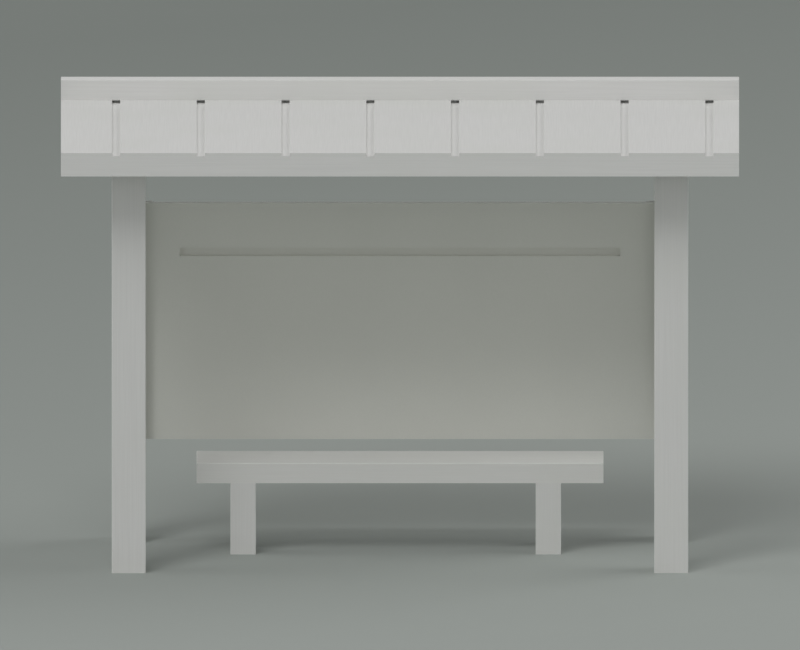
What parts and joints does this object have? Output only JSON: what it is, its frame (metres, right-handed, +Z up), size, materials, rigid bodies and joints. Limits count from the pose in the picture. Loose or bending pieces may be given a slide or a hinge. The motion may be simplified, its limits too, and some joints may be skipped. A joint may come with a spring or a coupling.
{
  "type": "bus shelter",
  "caption": "Open bus shelter with square posts, a flat overhanging roof with drainage grooves and a rear kerb, a raised back panel and a thick bench.",
  "frame": {"origin": "on the ground, in the middle of the roof's outline", "axes": "+Z up; +X along the roof to the right as seen from the open front; the front faces -Y"},
  "size_m": [4, 1.91, 2.696],
  "materials": {
    "painted_timber": "matte pale grey paint on planed timber"
  },
  "bodies": {
    "root": {"front_left_post": "painted_timber", "front_right_post": "painted_timber", "rear_left_post": "painted_timber", "rear_right_post": "painted_timber", "front_head_beam": "painted_timber", "rear_head_beam": "painted_timber", "rafter_1": "painted_timber", "rafter_2": "painted_timber", "rafter_3": "painted_timber", "rafter_4": "painted_timber", "rafter_5": "painted_timber", "rafter_6": "painted_timber", "rafter_7": "painted_timber", "rafter_8": "painted_timber", "front_fascia": "painted_timber", "rear_fascia": "painted_timber", "left_fascia": "painted_timber", "right_fascia": "painted_timber", "roof_deck": "painted_timber", "roof_board_1": "painted_timber", "roof_board_2": "painted_timber", "roof_board_3": "painted_timber", "roof_board_4": "painted_timber", "roof_board_5": "painted_timber", "roof_board_6": "painted_timber", "roof_board_7": "painted_timber", "roof_board_8": "painted_timber", "roof_board_9": "painted_timber", "rear_upstand": "painted_timber", "back_panel": "painted_timber", "left_batten": "painted_timber", "right_batten": "painted_timber", "bench_seat": "painted_timber", "bench_leg_front_left": "painted_timber", "bench_leg_front_right": "painted_timber", "bench_leg_rear_left": "painted_timber", "bench_leg_rear_right": "painted_timber"}
  },
  "joints": []
}
